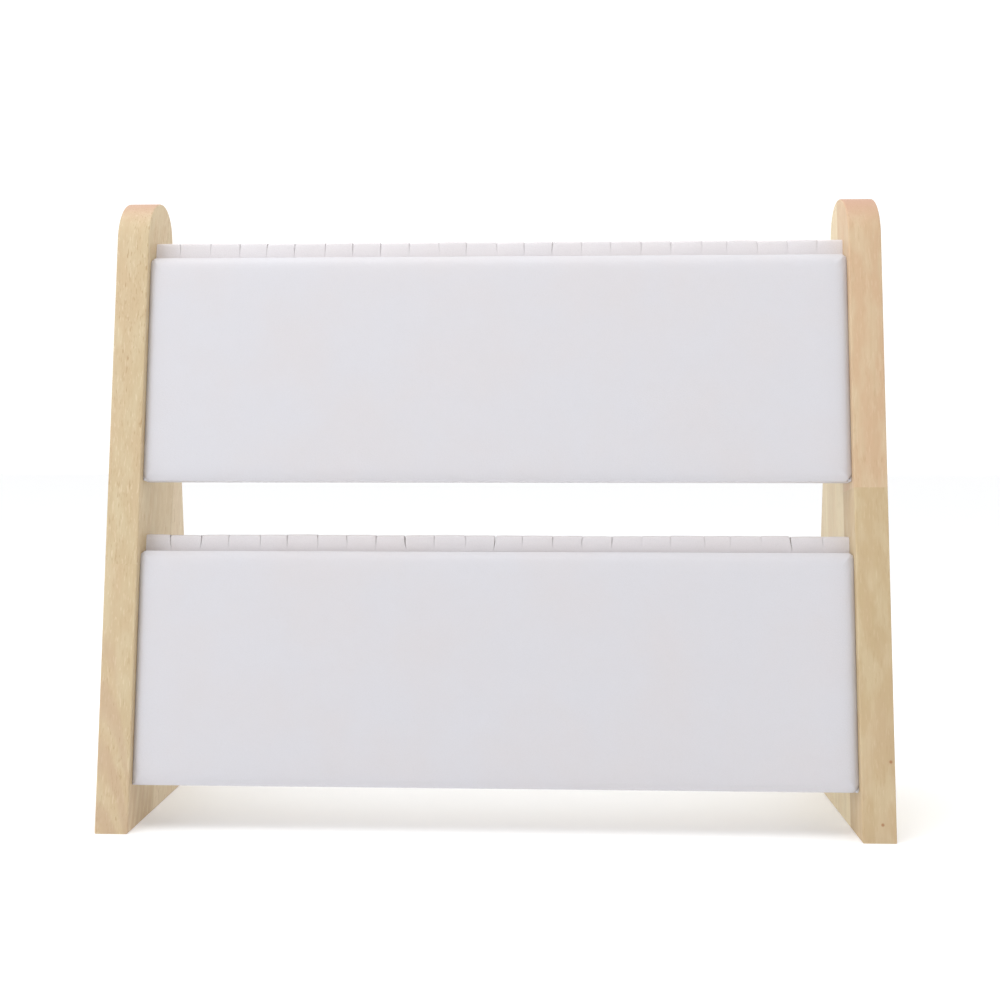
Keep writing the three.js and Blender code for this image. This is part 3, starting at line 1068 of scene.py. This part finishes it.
def make_floor():
    corners = ((-1, -1), (1, -1), (1, 1), (-1, 1))
    points = [(x * FLOOR_HALF, y * FLOOR_HALF, 0) for x, y in corners]
    floor = make_object("floor", points, [[0, 1, 2, 3]], [floor_material("floor")])


def area_light(name, place_at, target, size, watts, colour):
    """A rectangular lamp that faces its target."""
    light = bpy.data.lights.new(name, "AREA")
    light.shape = "RECTANGLE"
    light.size, light.size_y = size
    light.energy = watts
    light.color = colour
    lamp = bpy.data.objects.new(name, light)
    lamp.location = place_at
    lamp.rotation_euler = (Vector(target) - Vector(place_at)).to_track_quat("-Z", "Y").to_euler()
    bpy.context.scene.collection.objects.link(lamp)


def make_light():
    """A room that is dark in front, bright behind and white near the horizon, and three soft lights."""
    world = bpy.data.worlds.new("studio")
    bpy.context.scene.world = world
    world.use_nodes = True
    tree = world.node_tree
    background = tree.nodes["Background"]
    background.inputs["Color"].default_value = (1.0, 0.995, 0.985, 1)
    direction = add(tree, "ShaderNodeTexCoord").outputs["Generated"]
    axes = add(tree, "ShaderNodeSeparateXYZ", {"Vector": direction}).outputs
    front_to_rear = spread(tree, axes["Y"], -0.95, 0.05, 0.10, 1.14)
    near_horizon = spread(tree, axes["Z"], 0.12, 0.32, 1.04, 0.0)
    put(tree, background.inputs["Strength"], maths(tree, "MAXIMUM", front_to_rear, near_horizon))
    for softbox in SOFTBOXES:
        area_light(*softbox)
    bpy.context.scene.view_settings.view_transform = "Standard"


def make_camera():
    """A camera a little above the stand's middle and to its right, which looks slightly down."""
    lens = bpy.data.cameras.new("camera")
    lens.sensor_width = 36
    lens.lens = 45.28
    camera = bpy.data.objects.new("camera", lens)
    camera.location = (0.02447, -0.56083, 0.16344)
    camera.rotation_euler = (math.radians(90 - 2.613), 0, math.radians(2.307))
    bpy.context.scene.collection.objects.link(camera)
    bpy.context.scene.camera = camera


# ---------------------------------------------------------------- the stand

def build():
    chance = random.Random(21)
    pad_leather = leatherette_material("pad_leatherette", (0.608, 0.602, 0.640), (0.613, 0.592, 0.616))
    strip_leather = leatherette_material("strip_leatherette", (0.710, 0.684, 0.706), (0.710, 0.674, 0.687))
    foam = foam_material("foam", (0.78, 0.76, 0.72), (0.55, 0.52, 0.46))
    board = fibreboard_material("fibreboard")
    lining = lining_material("back_lining")
    steel = screw_material("screw_steel")
    left_wood = wood_material(
        "left_wood", lean=math.radians(14.6), glue_line=-15.5 * MM, width=75 * MM, joint=500 * MM,
        tints=((0.560, 0.440, 0.272), (0.560, 0.440, 0.272), (0.680, 0.575, 0.410)),
        marks=(0.6, 0.26), knots=(), flame=(-166 * MM, 92 * MM, 0.5), seed=3.0,
    )
    right_wood = wood_material(
        "right_wood", lean=math.radians(8.6), glue_line=-28.2 * MM, width=41 * MM, joint=139 * MM,
        tints=((0.565, 0.392, 0.250), (0.490, 0.372, 0.212), (0.720, 0.610, 0.410)),
        marks=(0.25, 0.12),
        knots=((164.2 * MM, -44.1 * MM, 32.5 * MM), (160.3 * MM, -47.9 * MM, 7.4 * MM)),
        flame=(160.5 * MM, 100 * MM, 0.15), seed=7.0,
    )
    make_panel("left", left_wood)
    make_panel("right", right_wood)
    make_screws(steel)
    for tier in TIERS:
        make_pad(tier, pad_leather, foam)
        make_strip(tier, strip_leather, foam, chance)
        make_lining(tier, lining)
        for part in ("pad_board", "cross_board"):
            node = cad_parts[f"{tier}_{part}"]
            node.data.materials.clear()
            node.data.materials.append(board)


build()
make_floor()
make_light()
make_camera()
